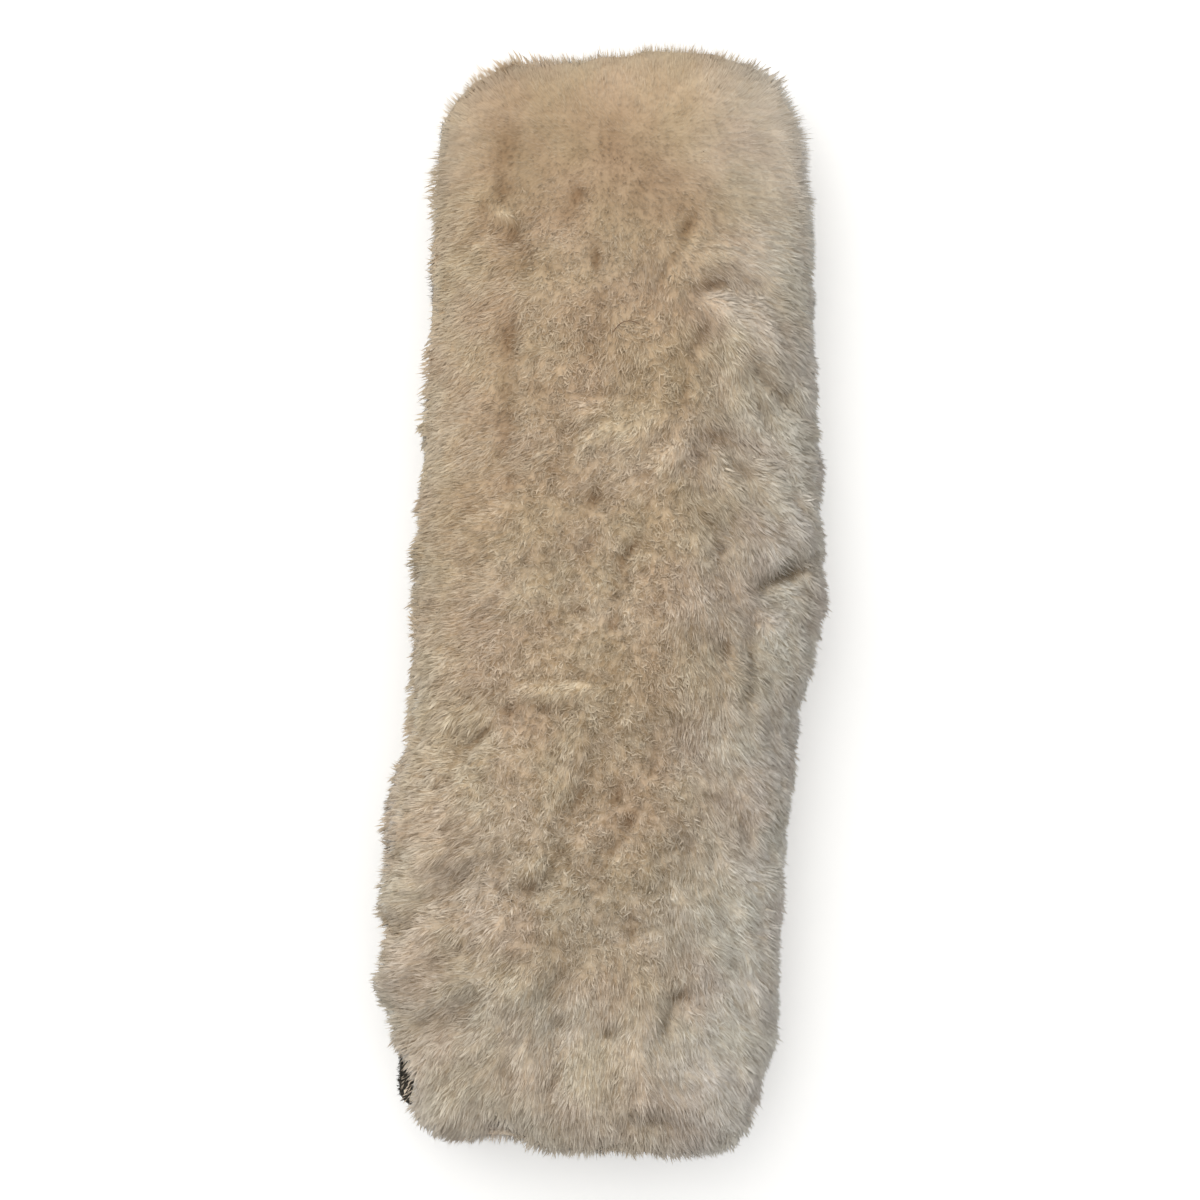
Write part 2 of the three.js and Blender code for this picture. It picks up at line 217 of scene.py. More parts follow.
links.new(raised.outputs["Normal"], shader.inputs["Normal"])
hide_mesh.materials.append(suede)

cut_edge = bpy.data.materials.new("cut_edge_of_hide")
cut_edge.use_nodes = True
nodes, links = cut_edge.node_tree.nodes, cut_edge.node_tree.links
shader = nodes["Principled BSDF"]
shader.inputs["Roughness"].default_value = 0.85
shader.inputs["Specular IOR Level"].default_value = 0.25
place = nodes.new("ShaderNodeTexCoord")
torn = nodes.new("ShaderNodeTexNoise")
torn.inputs["Scale"].default_value = 1300
torn.inputs["Detail"].default_value = 3
links.new(place.outputs["Object"], torn.inputs["Vector"])
shades = nodes.new("ShaderNodeValToRGB")
shades.color_ramp.elements[0].position = 0.35
shades.color_ramp.elements[0].color = (0.32, 0.255, 0.18, 1)
shades.color_ramp.elements[1].position = 0.65
shades.color_ramp.elements[1].color = (0.56, 0.48, 0.375, 1)
links.new(torn.outputs["Fac"], shades.inputs["Fac"])
links.new(shades.outputs["Color"], shader.inputs["Base Color"])
raised = nodes.new("ShaderNodeBump")
raised.inputs["Strength"].default_value = 0.8
raised.inputs["Distance"].default_value = 0.3 * MM
links.new(torn.outputs["Fac"], raised.inputs["Height"])
links.new(raised.outputs["Normal"], shader.inputs["Normal"])
hide_mesh.materials.append(cut_edge)
hide_mesh.polygons.foreach_set("use_smooth", [True] * len(hide_mesh.polygons))
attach(hide, "root")
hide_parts("sheepskin")


# The two tapes: black woven nylon, one with hooks and one with loops, which the CAD holds at their real size.
# Each keeps its solid, and gets the ribs of its weave across it and the lint that wool leaves on it.
woven = bpy.data.materials.new("black_woven_tape")
woven.use_nodes = True
nodes, links = woven.node_tree.nodes, woven.node_tree.links
shader = nodes["Principled BSDF"]
shader.inputs["Roughness"].default_value = 0.75
shader.inputs["Specular IOR Level"].default_value = 0.3
place = nodes.new("ShaderNodeTexCoord")
ribs = nodes.new("ShaderNodeTexWave")
ribs.wave_type = "BANDS"
ribs.bands_direction = "Y"
ribs.inputs["Scale"].default_value = 330
ribs.inputs["Distortion"].default_value = 1.5
links.new(place.outputs["Object"], ribs.inputs["Vector"])
fuzz = nodes.new("ShaderNodeTexNoise")
fuzz.inputs["Scale"].default_value = 1400
fuzz.inputs["Detail"].default_value = 3
links.new(place.outputs["Object"], fuzz.inputs["Vector"])
blacks = nodes.new("ShaderNodeValToRGB")
blacks.color_ramp.elements[0].position = 0.3
blacks.color_ramp.elements[0].color = (0.006, 0.006, 0.006, 1)
blacks.color_ramp.elements[1].position = 0.75
blacks.color_ramp.elements[1].color = (0.07, 0.06, 0.045, 1)
links.new(fuzz.outputs["Fac"], blacks.inputs["Fac"])
links.new(blacks.outputs["Color"], shader.inputs["Base Color"])
weave = nodes.new("ShaderNodeMath")
weave.operation = "ADD"
links.new(ribs.outputs["Fac"], weave.inputs[0])
links.new(fuzz.outputs["Fac"], weave.inputs[1])
raised = nodes.new("ShaderNodeBump")
raised.inputs["Strength"].default_value = 0.7
raised.inputs["Distance"].default_value = 0.25 * MM
links.new(weave.outputs[0], raised.inputs["Height"])
links.new(raised.outputs["Normal"], shader.inputs["Normal"])
for name in ("hook_tape", "loop_tape"):
    tape = bpy.data.objects[name]
    tape.data.materials.clear()
    tape.data.materials.append(woven)


# The tapes' fuzz: loops and cut ends along their outer edges, of fine black nylon, pulled up as they part.
# Each is a closed sliver of four faces, bent where it is widest: its root, its bend's two sides, and its tip.
TAPE_FUZZ = 2000  # slivers on each tape
TAPE_FUZZ_LENGTH = 1.3  # mm
TAPE_FUZZ_WIDTH = 0.09  # mm
TAPE_FUZZ_SOFTNESS = 0.8  # how far its own roundness shows in the light
TAPE_FUZZ_SEED = 5
TAPE_CORNER = 5.0  # mm
FLOOR_CLEARANCE = 0.12  # mm, which every sliver keeps above the floor
chance = np.random.default_rng(TAPE_FUZZ_SEED)

bm = bmesh.new()
for side, bulge, t in ((0, 0, 0), (1, 0.4, 0.4), (-1, 0.4, 0.6), (0, 0, 1)):
    bm.verts.new((side, bulge, t))
bmesh.ops.convex_hull(bm, input=bm.verts)
bmesh.ops.recalc_face_normals(bm, faces=bm.faces)
bm.verts.index_update()
sliver_points = np.array([v.co for v in bm.verts])
sliver_faces = np.array([[v.index for v in f.verts] for f in bm.faces])
bm.free()


def rows_normalised(vectors):
    return vectors / np.maximum(np.linalg.norm(vectors, axis=1, keepdims=True), 1e-9)


def bent_slivers(name, base, start, end, size, width, pull, facing, softness):
    """One mesh of slivers, in mm: each leaves its base one way, bends to another and is pulled at its tip.

    Its points are lit mostly as the surface under them is: real fibres are too thin to show their roundness.
    """
    count, each = len(base), len(sliver_points)
    ply = rows_normalised(np.cross(start, end))
    points = np.empty((count, each, 3))
    lit = np.empty_like(points)
    for k, (side, bulge, t) in enumerate(sliver_points):
        out = side * ply + bulge * np.cross(rows_normalised(start + t * (end - start)), ply)
        points[:, k] = base + size * (t * start + t * t / 2 * (end - start)) + pull * t * t + width * out
        lit[:, k] = rows_normalised(facing + softness * side * ply)
    points[..., 2] = np.maximum(points[..., 2], FLOOR_CLEARANCE)
    points = points.reshape(-1, 3)

    faces = (sliver_faces[None] + (np.arange(count) * each)[:, None, None]).reshape(-1)
    mesh = bpy.data.meshes.new(name)
    mesh.vertices.add(len(points))
    mesh.vertices.foreach_set("co", (points * MM).ravel())
    mesh.loops.add(len(faces))
    mesh.loops.foreach_set("vertex_index", faces)
    mesh.polygons.add(len(faces) // 3)
    mesh.polygons.foreach_set("loop_start", np.arange(0, len(faces), 3))
    mesh.polygons.foreach_set("use_smooth", [True] * (len(faces) // 3))
    mesh.update(calc_edges=True)

    # Each sliver has a cell of its own in its UV map, with its length up the cell.
    columns = math.ceil(math.sqrt(count * 3))
    cell = np.arange(count)[:, None]
    across_cell = (cell % columns + 0.5 + 0.35 * sliver_points[:, 0]) / columns
    up_cell = (cell // columns + 0.08 + 0.84 * sliver_points[:, 2]) / math.ceil(count / columns)
    cells = np.stack([across_cell, up_cell], 2).reshape(-1, 2)
    mesh.uv_layers.new(name="OFBake").uv.foreach_set("vector", cells[faces].astype(np.float32).ravel())
    mesh.normals_split_custom_set_from_vertices(lit.reshape(-1, 3).tolist())
    return mesh, points


for name in ("hook_tape", "loop_tape"):
    low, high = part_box(name)
    base = np.empty((TAPE_FUZZ, 3))
    base[:, 1] = chance.uniform(low.y / MM, high.y / MM, TAPE_FUZZ)
    base[:, 2] = chance.uniform(low.z / MM + 0.1, high.z / MM - 0.1, TAPE_FUZZ)
    from_end = np.minimum(base[:, 1] - low.y / MM, high.y / MM - base[:, 1])
    corner = np.clip(1 - from_end / TAPE_CORNER, 0, 1)
    base[:, 0] = low.x / MM + TAPE_CORNER * (1 - np.sqrt(1 - corner**2)) + 0.1
    outwards = rows_normalised(np.stack([corner - 1.2, np.sign(base[:, 1]) * corner, 0 * corner], 1))
    start = rows_normalised(outwards + 0.5 * chance.normal(size=(TAPE_FUZZ, 3)))
    end = rows_normalised(outwards + 1.2 * chance.normal(size=(TAPE_FUZZ, 3)) + (0, 0, 0.3))
    size = TAPE_FUZZ_LENGTH * chance.uniform(0.4, 1.2, (TAPE_FUZZ, 1))
    width = TAPE_FUZZ_WIDTH / 2
    pull = 0 * base
    mesh, _ = bent_slivers(name + "_fuzz", base, start, end, size, width, pull, outwards, TAPE_FUZZ_SOFTNESS)
    mesh.materials.append(woven)
    fuzz_piece = bpy.data.objects.new(name + "_fuzz", mesh)
    stage_collection.objects.link(fuzz_piece)
    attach(fuzz_piece, "root")


# The seams: a black polyester thread lockstitched round each tape, two plies laid round each other.
thread = bpy.data.materials.new("black_sewing_thread")
thread.use_nodes = True
nodes, links = thread.node_tree.nodes, thread.node_tree.links
shader = nodes["Principled BSDF"]
shader.inputs["Roughness"].default_value = 0.55
place = nodes.new("ShaderNodeTexCoord")
plies = nodes.new("ShaderNodeTexWave")
plies.bands_direction = "DIAGONAL"
plies.inputs["Scale"].default_value = 700
links.new(place.outputs["Object"], plies.inputs["Vector"])
blacks = nodes.new("ShaderNodeValToRGB")
blacks.color_ramp.elements[0].color = (0.01, 0.01, 0.009, 1)
blacks.color_ramp.elements[1].color = (0.045, 0.042, 0.04, 1)
links.new(plies.outputs["Fac"], blacks.inputs["Fac"])
links.new(blacks.outputs["Color"], shader.inputs["Base Color"])
for name in ("hook_tape_stitching", "loop_tape_stitching"):
    seam = bpy.data.objects[name]
    seam.data.materials.clear()
    seam.data.materials.append(thread)


# The wool's undercoat: the dense lower pile that fills the pad to just under its tips. It starts from the
# sheepskin's own solid, shrunk by the length of the free tips, and sinks where the wool parts.
TIP_LENGTH = 2.0 * MM
TIP_LENGTH_AT_SIDES = 1.6 * MM
HIDE_ROOM = 2.3 * MM
RIDGE_HEIGHT = 1.25  # mm
RIDGE_PAINTED_SHADING = 0.16  # how much paler the ridges, and darker the furrows, are painted: painted light and shade of the relief
LOCK_HEIGHT = 5.0  # mm, for a lock of full lightness
FULL_PARTING = 2.4  # mm, how far the wool sinks in a parting of depth 1
UNDERCOAT_GRAIN = 1.85 * MM  # about the size of its faces
# Where the wool parts or dimples: middle across and along the pad, half length and half width in mm, the way
# of its length in degrees from the way to the fold, and how deep it is, which also sets its painted shade.
PARTINGS = [
    # upper end, towards the open edge
    (-31, 112, 6, 4, 90, 0.4), (-31, 102, 4, 2.6, 90, 0.45), (-28, 91, 3.5, 2.2, 90, 0.6),
    (-35.5, 97, 3, 0.9, 90, 0.6), (-30, 99, 3, 1, 160, 0.4), (-25, 84, 6, 3.5, 100, 0.4),
    (-27.5, 64, 7, 2.2, 92, 0.7), (-27.5, 44, 14, 2.6, 90, 0.6), (-26, 28, 4, 1.8, 90, 0.45),
    (-12, 101, 2.2, 1.6, 60, 0.7), (-14, 97, 4, 2, 45, 0.35), (-7, 86, 4, 1.1, 95, 1.0),
    (-5.5, 76, 4, 1, 90, 0.4), (-19, 83, 4, 3, 0, 0.3),
    # upper end, towards the fold
    (16, 94, 4, 1.5, 68, 0.8), (12.5, 86.5, 5, 1.1, 62, 0.45), (22, 80, 4.5, 1.7, 14, 0.85),
    (19, 78, 2, 1.5, 0, 0.6), (33, 82, 5, 0.9, -14, 0.25), (20, 66, 8, 1.6, 70, 0.6),
    (17.5, 53, 4, 1.3, 90, 0.6),
    # round the whorl, and the middle of the pad
    (-18, 52, 3, 2, 0, 0.4), (-3, 52, 5, 1.5, 10, 0.45), (6, 52, 3, 1.8, 0, 0.45),
    (-10, 38, 3, 1.3, 80, 0.7), (-4.5, 25.5, 3, 1.6, 75, 1.0), (8.5, 32, 1.6, 1, 20, 0.6),
    (9.3, 25, 6, 0.7, 90, 0.5), (26, 42, 4, 2.2, -5, 0.6), (22, 37, 2, 1.5, -20, 0.7),
    (34, 33, 4, 1.8, -15, 0.5), (36, 41, 3, 1.3, 90, 0.45), (40, 55, 6, 1.6, -44, 0.6),
    (46, 27, 4, 1.3, -45, 0.6), (28, 14, 3.5, 1.4, 85, 0.75), (25, 20, 4, 1, -50, 0.5),
    (22, 9, 2.2, 0.8, 30, 0.5), (15.5, 12, 2.6, 1, 90, 0.5), (5.3, 12.5, 3, 0.9, 55, 1.1),
    (3.8, 7.5, 3, 0.7, 110, 1.0), (2.6, -0.5, 4, 0.6, 105, 0.7), (-4, 15, 4, 1.2, 40, 0.5),
    (-5, 10, 3, 1, 45, 0.4), (-6, -3, 3, 1, -10, 0.7), (2, -6, 2.2, 1.2, 70, 0.9),
    (-15, -7, 1.6, 0.8, 60, 0.5),
    # the crease in the fold side, and the line below it where the pile rolls off
    (45, 8.5, 7, 1.6, 24, 1.6), (39, 4.5, 4, 1, 25, 0.8), (37, -14, 17, 1.2, 91, 0.6),
    (30.5, -11.5, 3.2, 1.4, 105, 0.8),
    # below the middle
    (-5, -19.5, 6, 0.9, 4, 0.6), (-15, -21, 3, 0.8, -20, 0.4), (-15, -28, 4.5, 1.1, -8, 0.7),
    (-24, -29, 2.4, 1.8, 0, 0.8), (-22, -32.5, 4.5, 0.9, -5, 0.6), (-31, -37, 6, 0.9, 52, 0.7),
    (-38, -46, 6, 0.9, 48, 0.35), (-5, -50, 1.6, 0.8, 90, 0.6), (-3.5, -48, 1.6, 0.7, 60, 0.5),
    (5, -49, 2.4, 1.1, 85, 0.8), (8.5, -55, 2.8, 1.4, 75, 1.0), (5, -62, 5, 0.9, 58, 0.5),
    (-9, -63.5, 3.5, 1, -35, 0.6), (14, -37, 6, 1.3, 88, 0.35), (24, -62, 3.5, 1.3, 95, 0.75),
    (25.5, -55, 2, 1, 90, 0.5), (28, -49, 4, 2, 0, 0.35), (26, -40, 3, 1.4, 90, 0.3),
    (38.5, -57, 4.5, 1.9, 105, 0.7), (-32.5, -62, 6.5, 0.8, 48, 0.6), (-24, -68, 4, 1, 95, 0.6),
    (-23.5, -74, 2.6, 1.1, 125, 0.8), (-16.5, -74, 2.4, 1.6, 10, 0.9), (-34, -74, 3.5, 1, 60, 0.45),
    (2, -72, 2.6, 1, 70, 0.6),
    # lower end
    (9.7, -82, 4.2, 1, 98, 0.9), (-9, -87, 4, 3, 0, 0.4), (-7, -96, 4, 3, 0, 0.35),
    (-30, -91, 4.5, 1.3, 95, 0.6), (-36, -95, 8, 5, 10, 0.35), (-29, -103, 3, 1.7, 80, 0.6),
    (-31, -108, 3.6, 1.3, 92, 0.8), (-14.5, -110, 6, 1, 92, 0.7), (-7, -107, 3, 1.5, -15, 0.6),
    (4.5, -109, 2, 1.6, 0, 0.9), (23.5, -99, 3.5, 1.7, 15, 0.9), (19.5, -105.5, 4, 1.4, 78, 0.8),
    (25, -92, 3, 1, 90, 0.45), (13, -122, 4.5, 1.3, 65, 0.5), (-6, -118, 2.4, 1, 80, 0.5),
    (-8, -123, 3, 1, 80, 0.35), (-21, -119, 1.6, 1.1, 90, 0.5), (27, -115, 2, 1, -60, 0.35),
    (18, -131, 9, 1.6, -4, 0.7),
]
# Locks that lie together, stand higher and catch more light: middle, half length and half width in mm, the way
# in which they flow in degrees, and how much paler they are painted, a painted highlight that also sets their
# height.
LOCKS = [
    (-30.5, 96, 3, 1.1, -25, 0.4), (18, 112, 12, 7, 4, 0.02), (22, 88, 9, 3.2, -10, 0.16),
    (31, 94, 9, 5, -24, 0.1), (38, 84, 9, 5, -36, 0.14), (27, 74, 8, 2.8, -34, 0.3),
    (35, 66, 9, 4, -46, 0.2), (8, 82, 8, 5, -92, 0.04), (38, 58, 8, 4, -50, 0.06),
    (28, 57, 8, 3.4, -66, 0.18), (-7, 47, 5, 2.2, -170, 0.1), (-4, 41, 7, 2.2, -150, 0.36),
    (5, 41, 6, 3, -140, 0.2), (15, 37, 4.5, 2.6, -125, 0.4), (10, 44, 6, 2.6, -125, 0.08),
    (34, 46, 8, 3, -62, 0.18), (28, 30, 7, 2.6, -58, 0.18), (40, 32, 9, 3, -52, 0.16),
    (46, 22, 9, 2.6, -48, 0.1), (-19, 35, 6, 4, -172, 0.05), (-38, 12, 9, 12, -174, 0.06),
    (22, 3, 8, 3, -96, 0.14), (17, -6, 6, 3, -98, 0.14), (27, -4, 7, 3, -76, 0.12),
    (25, -19, 6, 4, -84, 0.05), (31, -24, 9, 2.6, -76, 0.12), (-18, -23.5, 6, 1.6, -168, 0.22),
    (-6, -22.5, 6, 1.6, -176, 0.2), (-27, -36, 5, 1.5, -145, 0.14), (-9, -44, 10, 4, -98, 0.12),
    (-2, -58, 6, 3, -102, 0.14), (-14, -67, 5, 2, -110, 0.12), (44, -20, 10, 3, -62, 0.02),
    (38, -36, 9, 4, -52, 0.08), (30, -48, 8, 4, -55, 0.04), (-43, -63, 9, 5, -163, 0.1),
    (-47, -77, 7, 3.4, -158, 0.14), (-47, -95, 8, 2.4, -172, 0.16), (-44, -88, 6, 3, -152, 0.06),
    (-26, -84, 6, 4, -122, 0.08), (22, -74, 9, 3, -86, 0.12), (19, -87, 7, 2.6, -88, 0.08),
    (36, -72, 9, 4, -50, 0.1), (33, -87, 9, 4, -56, 0.06), (6, -96, 7, 2.4, -98, 0.1),
    (28, -96, 4, 2, -75, 0.1), (12, -111, 7, 3, -86, 0.06), (28, -122, 9, 5, -74, 0.08),
    (-32, -117, 9, 5, -132, 0.07), (41, -104, 10, 5, -60, 0.05), (-20, -100, 6, 3, -110, 0.06),
    (0, -124, 8, 5, -92, 0.05),
]

# Where the pad's outline stands back from its solid's: middle and size in mm, and how far. Below 0 it bulges.
HOLLOWS_OF_OUTLINE = [
    (-42, 133, 12, 2.8), (46, 132, 10, 1.4), (-53, 90, 12, 2.4), (-54, 112, 9, 1.2), (-54, 54, 12, 2.0),
    (-54, 20, 12, 0.8), (-54, -27, 14, 2.2), (-53, -85, 5, 2.6), (-20, -138, 5, 4.0), (-8, -139, 8, -0.8),
    (-44, -129, 5, 2.2), (12, -139, 9, 1.2), (53, 15, 9, -1.2), (38, -136, 7, -1.8), (-36, -133, 7, -2.0),
    (-52, -66, 6, 1.2), (-53, -97, 4, 1.2),
]
STANDING_BACK_AT_ENDS = 1.5  # mm
RIDGE_REACH = 8.0  # mm, to either side
RIDGE_STEPS = 4


def as_seen(places):
    """Places in mm, each moved to where the camera over the pad shows it at half the pad's height."""
    rise = (places[:, 2:] * MM - HALF_HEIGHT) / CAMERA_HEIGHT
    over = np.array([camera.location.x, camera.location.y]) / MM
    return over + (places[:, :2] - over) / (1 - rise)


def near_places(seen, middle_x, middle_y, long, wide, degrees):
    """How near seen places are to a feature: 1 in its middle, falling off along and across it."""
    turn = math.radians(degrees)
    x, y = seen[:, 0] - middle_x, seen[:, 1] - middle_y
    along = (x * math.cos(turn) + y * math.sin(turn)) / long
    across = (y * math.cos(turn) - x * math.sin(turn)) / wide
    return np.exp(-(along**2) - across**2)


def soft_noise(places, size, seed):
    """Smooth noise of about -1 to 1 at places in mm: a sum of waves that run every way."""
    waves = np.random.default_rng(seed)
    total = np.zeros(len(places))
    for _ in range(14):
        way = waves.normal(size=3)
        way *= (2 * math.pi / size) * waves.uniform(0.6, 1.5) / np.linalg.norm(way)
        total += np.sin(places @ way + waves.uniform(0, 2 * math.pi))
    return total / 4.2


def on_upper_side(places):
    return np.clip((places[:, 2] - 16) / 10, 0, 1)


def parting_depth(places):
    """How much the wool parts at places in mm, from 0 to about 1.6, on the side that faces up."""
    seen = as_seen(places)
    depth = np.zeros(len(places))
    for *shape, deep in PARTINGS:
        depth = np.maximum(depth, deep * near_places(seen, *shape))
    return depth * on_upper_side(places)


def standing_back(places):
    """How far the pad's outline stands back at places in mm: at its ends, and between the lobes of wool."""
    seen = as_seen(places)
    ends = STANDING_BACK_AT_ENDS * np.clip((np.abs(places[:, 1]) - 127) / 8, 0, 1)
    hollows = sum(depth * near_places(seen, x, y, size, size, 0) for x, y, size, depth in HOLLOWS_OF_OUTLINE)
    lower_leaf = 1 + 0.4 * np.clip((20 - places[:, 2]) / 6, 0, 1)
    return ends + hollows * np.where(hollows > 0, lower_leaf, 1)


def flow(places):
    """The way in which the wool is combed at places in mm, in plan, shorter than 1 where it is less sure."""
    seen = as_seen(places)
    x, y = seen.T
    across = np.clip((x - 1) / 47, -1.15, 1.15)
    angle = np.radians(262 + 62 * across + 14 * soft_noise(places, 26, 6) + 14 * soft_noise(places, 8, 7))
    way = np.stack([np.cos(angle), np.sin(angle)], 1)
    for lock_x, lock_y, long, wide, degrees, _ in LOCKS:
        turn = math.radians(degrees)
        near = near_places(seen, lock_x, lock_y, long * 1.2, wide * 1.5, degrees)
        way += 1.8 * near[:, None] * np.array([math.cos(turn), math.sin(turn)])
    way /= np.maximum(np.linalg.norm(way, axis=1, keepdims=True), 1)
    upper = np.clip((y - 108) / 26, 0, 1)[:, None]
    way = way * (1 - upper) + upper * np.stack([1.1 * across, np.ones(len(x))], 1)
    lower = np.clip((-104 - y) / 28, 0, 1)[:, None]
    way = way * (1 - lower) + lower * np.stack([0.7 * across, -np.ones(len(x))], 1)
    for part_x, part_y, long, wide, degrees, deep in PARTINGS:
        turn = math.radians(degrees + 90)
        side = (x - part_x) * math.cos(turn) + (y - part_y) * math.sin(turn)
        near = near_places(seen, part_x, part_y, long, wide * 1.6, degrees)
        apart = 0.7 * deep * (np.clip(side / wide, -1, 1) * near)[:, None]
        way += apart * np.array([math.cos(turn), math.sin(turn)])
    return way


def matted(places):
    """Where the wool is short and matted, with tips that curl every way: down the upper leaf's middle."""
    seen = as_seen(places)
    x, y = seen.T
    middle = np.exp(-(((x + 4) / 24) ** 4)) * np.clip((y + 105) / 30, 0, 1) * np.clip((118 - y) / 20, 0, 1)
    locks = np.zeros(len(places))
    for *shape, _ in LOCKS:
        locks = np.maximum(locks, near_places(seen, *shape))
    return np.clip(middle + 0.3 * soft_noise(places, 22, 8) - 0.9 * locks, 0, 1)


def calm(places):
    """Where the fleece is smooth and even, from 0 to 1: its upper end, and the open edge above the middle."""
    x, y = as_seen(places).T
    upper_end = np.clip((y - 70) / 35, 0, 1)
    open_edge_side = 0.75 * np.clip((-18 - x) / 12, 0, 1) * np.clip((y + 25) / 30, 0, 1)
    return np.maximum(upper_end, open_edge_side) * np.clip((places[:, 2] - 26) / 8, 0, 1)


def flowing_ridges(places):
    """Ridges and furrows of about -1 to 1 that follow the combed wool: noise drawn out along its flow."""
    ridges = np.zeros(len(places))
    for sign in (-1, 1):
        at = places.copy()
        for _ in range(RIDGE_STEPS):
            at[:, :2] += sign * RIDGE_REACH / RIDGE_STEPS * rows_normalised(flow(at))
            ridges += 0.6 * soft_noise(at, 6.5, 9) + 0.5 * soft_noise(at, 3.4, 10)
    return ridges / RIDGE_STEPS * (1 - 0.8 * matted(places)) * (1 - 0.75 * calm(places))


def hidden_by_hide(places, facing):
    """Which places in mm lie against the hide and face it, so that no wool tips can be there."""
    across, up = places[:, 0] * MM, np.abs(places[:, 2] * MM - TUNNEL_MIDDLE)
    edge = open_edge + trim_of_edge(places[:, 1] * MM, places[:, 2] * MM > TUNNEL_MIDDLE)
    room = leaf_half_gap(across) + HIDE_ROOM + 1.4 * MM
    by_leaf = (across > edge - 0.2 * MM) & (across < fold_axis) & (up < room)
    by_fold = (across >= fold_axis) & (np.hypot(across - fold_axis, up) < FOLD_RADIUS + HIDE_ROOM + 1.6 * MM)
    out_x, out_z = np.maximum(across - fold_axis, 0), places[:, 2] * MM - TUNNEL_MIDDLE
    inward = -(facing[:, 0] * out_x + facing[:, 2] * out_z) / np.maximum(np.hypot(out_x, out_z), 1e-9)
    return (by_leaf | by_fold) & (inward > 0.25) & (np.abs(places[:, 1] * MM) < HIDE_HALF_LENGTH - 0.5 * MM)


def beside_hide_rim(places):
    """How near places in mm are to the hide's cut edges, from 0 to 1, where the wool starts at the hide."""
    x, y = np.abs(places[:, 0] * MM - open_edge), np.abs(np.abs(places[:, 1] * MM) - HIDE_HALF_LENGTH)
    clear = np.abs(places[:, 2] * MM - TUNNEL_MIDDLE) - leaf_half_gap(places[:, 0] * MM) - HIDE_THICKNESS
    near = np.clip(1.5 - np.minimum(x, y) / (3 * MM), 0, 1) * np.clip(1.5 - clear / (2.5 * MM), 0, 1)
    return near * (clear > -HIDE_THICKNESS)


undercoat = bpy.data.objects.new("wool_undercoat", bpy.data.objects["sheepskin"].data.copy())
stage_collection.objects.link(undercoat)
bm = bmesh.new()
bm.from_mesh(undercoat.data)
bmesh.ops.remove_doubles(bm, verts=bm.verts, dist=0.001 * MM)
bm.to_mesh(undercoat.data)
bm.free()
even = undercoat.modifiers.new("even_faces", "REMESH")
even.mode = "VOXEL"
even.voxel_size = UNDERCOAT_GRAIN
evaluated = undercoat.evaluated_get(bpy.context.evaluated_depsgraph_get())
undercoat_mesh = bpy.data.meshes.new_from_object(evaluated)
undercoat_mesh.name = "wool_undercoat"
undercoat.modifiers.clear()
undercoat.data = undercoat_mesh

bm = bmesh.new()
bm.from_mesh(undercoat_mesh)
for _ in range(4):
    bmesh.ops.smooth_vert(bm, verts=bm.verts, factor=0.5, use_axis_x=True, use_axis_y=True, use_axis_z=True)
bm.normal_update()
places = np.array([v.co for v in bm.verts]) / MM
seen = as_seen(places)
ridges = flowing_ridges(places)
relief = (0.4 * soft_noise(places, 11, 1) + 0.2 * soft_noise(places, 5, 2)) * (1 - 0.6 * calm(places))
relief += RIDGE_HEIGHT * ridges
relief -= FULL_PARTING * parting_depth(places) + standing_back(places)
for *shape, light in LOCKS:
    relief += LOCK_HEIGHT * light * near_places(seen, *shape) * on_upper_side(places)
facing = np.array([v.normal for v in bm.verts])
steepness = 1 - np.abs(facing[:, 2])
tips = (TIP_LENGTH + (TIP_LENGTH_AT_SIDES - TIP_LENGTH) * steepness) / MM
tips += (0.8 - tips) * beside_hide_rim(places)
sink = np.where(hidden_by_hide(places, facing), HIDE_ROOM / MM, tips - relief)
for v, down in zip(bm.verts, sink):
    v.co -= v.normal * float(down) * MM
bmesh.ops.smooth_vert(bm, verts=bm.verts, factor=0.5, use_axis_x=True, use_axis_y=True, use_axis_z=True)
bm.to_mesh(undercoat_mesh)
bm.free()
undercoat_mesh.polygons.foreach_set("use_smooth", [True] * len(undercoat_mesh.polygons))


def chalkiness(places):
    """How grey and pale the wool is, from 0, warm, to 1: the fold side, lower end and lower leaf fade."""
    x, y = as_seen(places).T
    z = places[:, 2]
    fold_side = np.clip((x - 13) / 34, 0, 1)
    middle = np.clip((70 - y) / 60, 0, 1)
    lower_end = np.clip((-30 - y) / 80, 0, 1)
    lower_side = np.clip((20 - z) / 16, 0, 1)
    # Greyer where the pile rolls off the fold side: painted shade.
    rolled_off_shade = 0.25 * near_places(as_seen(places), 46, -14, 8, 20, 0)
    grey = rolled_off_shade + 0.85 * fold_side + 0.14 * middle + 0.4 * lower_end + 0.3 * lower_side
    return np.clip(grey + 0.1 * soft_noise(places, 30, 3), 0, 1)


# Broad parts of the fleece that are paler, or darker, than the rest: middle, half sizes in mm, and how much.
# The darker ones at (46, -14) and (-24, 60) are painted shade, where the pile rolls off the fold side and in a
# valley.
PALE_PARTS = [
    (37, 114, 15, 22, 0.16), (0, 112, 28, 26, -0.35), (-30, 116, 14, 18, -0.27), (-4, -50, 26, 24, -0.07),
    (32, -48, 13, 26, 0.15), (0, -112, 34, 18, 0.2), (-36, -112, 12, 16, -0.12), (30, -112, 16, 18, 0.14),
    (38, -80, 12, 20, 0.22), (-33, 70, 12, 22, -0.12), (-36, 20, 14, 24, -0.1),
    (46, -14, 8, 20, -0.06), (-24, 60, 6, 24, -0.06), (-42, -56, 12, 26, 0.08), (-4, 15, 22, 26, 0.03),
]


